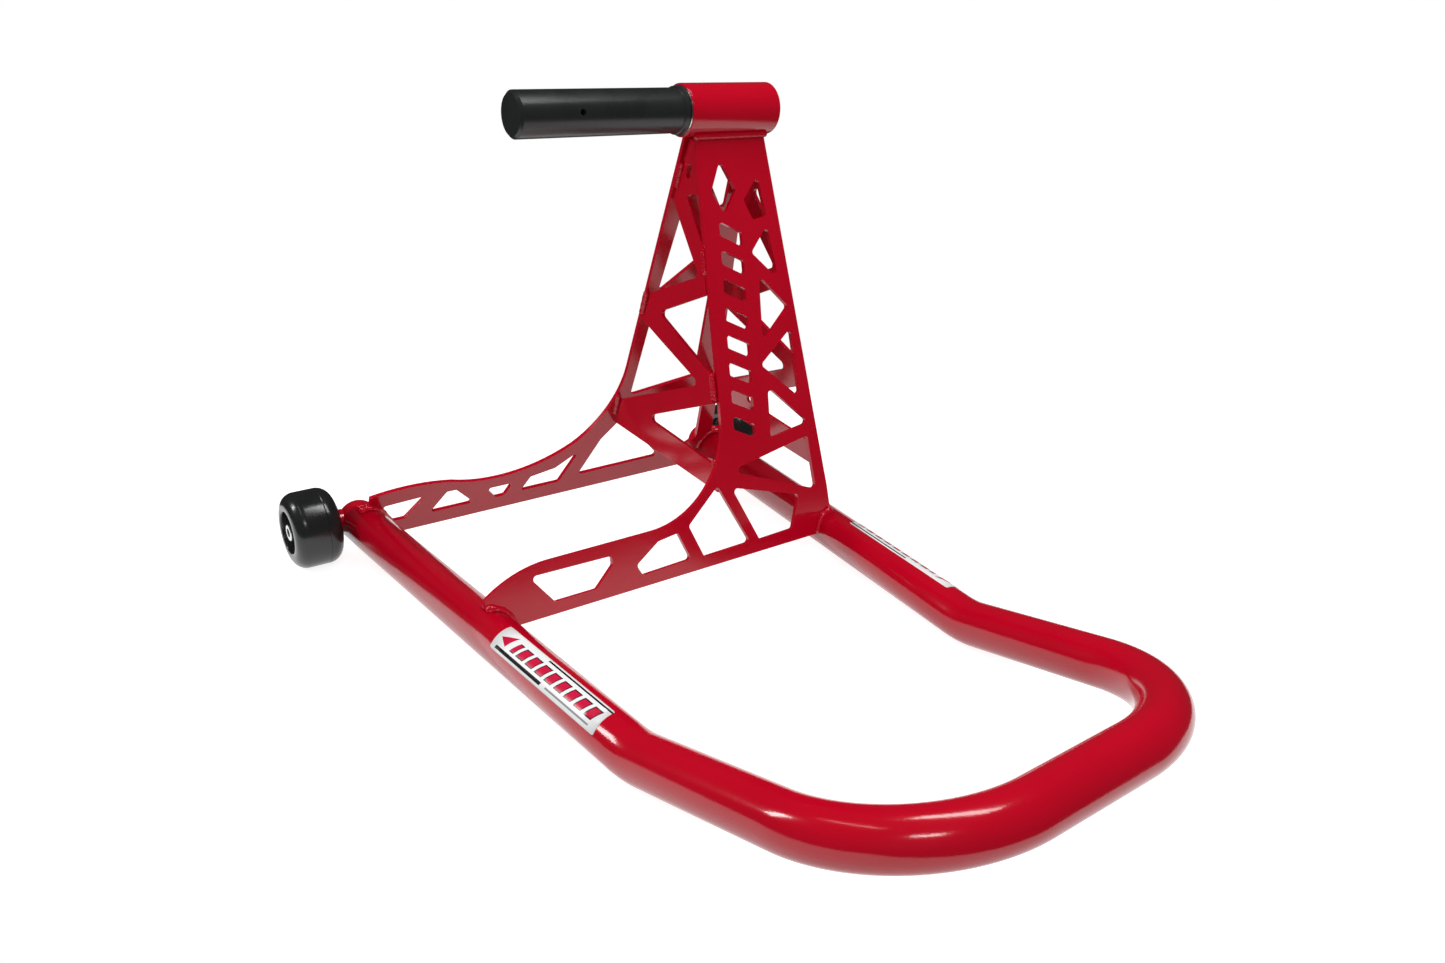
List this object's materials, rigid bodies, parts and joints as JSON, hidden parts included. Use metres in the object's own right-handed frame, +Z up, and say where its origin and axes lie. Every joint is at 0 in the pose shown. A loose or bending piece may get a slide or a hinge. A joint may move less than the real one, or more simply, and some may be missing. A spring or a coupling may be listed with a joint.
{
  "type": "paddock stand",
  "caption": "Rear lifting stand: bent tube frame with a bow handle, a cut-plate tower, a turning stub pin and two small wheels.",
  "frame": {"origin": "centre of the bounding box on the floor", "axes": "+X from the wheels towards the bow handle, +Y towards the boss side, away from the pin's free end, +Z up"},
  "size_m": [0.7185, 0.5286, 0.4285],
  "materials": {
    "red_paint": "gloss",
    "black_pin": "satin",
    "bright_steel": "satin",
    "zinc_steel": "satin",
    "wheel_plastic": "gloss",
    "seal_rubber": "matte",
    "label_film": "gloss"
  },
  "bodies": {
    "frame": {"frame_tube": "red_paint", "front_web_plate": "red_paint", "rear_web_plate": "red_paint", "side_lattice_left": "red_paint", "side_lattice_right": "red_paint", "boss_tube": "red_paint", "pin_sleeve": "bright_steel", "boss_weld_beads": "red_paint", "arm_weld_beads": "red_paint", "lattice_weld_beads": "red_paint", "arm_end_plug_left": "red_paint", "axle_collar_left": "red_paint", "label_left": "label_film", "bearing_inner_races_left": "bright_steel", "axle_spacers_left": "zinc_steel", "axle_washer_left": "zinc_steel", "axle_screw_left": "zinc_steel", "arm_end_plug_right": "red_paint", "axle_collar_right": "red_paint", "label_right": "label_film", "bearing_inner_races_right": "bright_steel", "axle_spacers_right": "zinc_steel", "axle_washer_right": "zinc_steel", "axle_screw_right": "zinc_steel"},
    "wheel_left_body": {"wheel_left": "wheel_plastic", "bearing_outer_races_left": "bright_steel", "bearing_shields_left": "seal_rubber", "bearing_balls_left": "bright_steel"},
    "wheel_right_body": {"wheel_right": "wheel_plastic", "bearing_outer_races_right": "bright_steel", "bearing_shields_right": "seal_rubber", "bearing_balls_right": "bright_steel"},
    "lift_pin_body": {"lift_pin": "black_pin", "pin_washer": "zinc_steel", "pin_screw": "zinc_steel"}
  },
  "joints": [
    {"name": "wheel_left_spin", "type": "hinge", "parent": "frame", "child": "wheel_left_body", "pos_m": [-0.32387, -0.243, 0.0354], "axis": [0, 1, 0], "continuous": true},
    {"name": "wheel_right_spin", "type": "hinge", "parent": "frame", "child": "wheel_right_body", "pos_m": [-0.32387, 0.243, 0.0354], "axis": [0, 1, 0], "continuous": true},
    {"name": "lift_pin_turn", "type": "hinge", "parent": "frame", "child": "lift_pin_body", "pos_m": [-0.17253, 0, 0.40681], "axis": [0, 1, 0], "continuous": true}
  ]
}
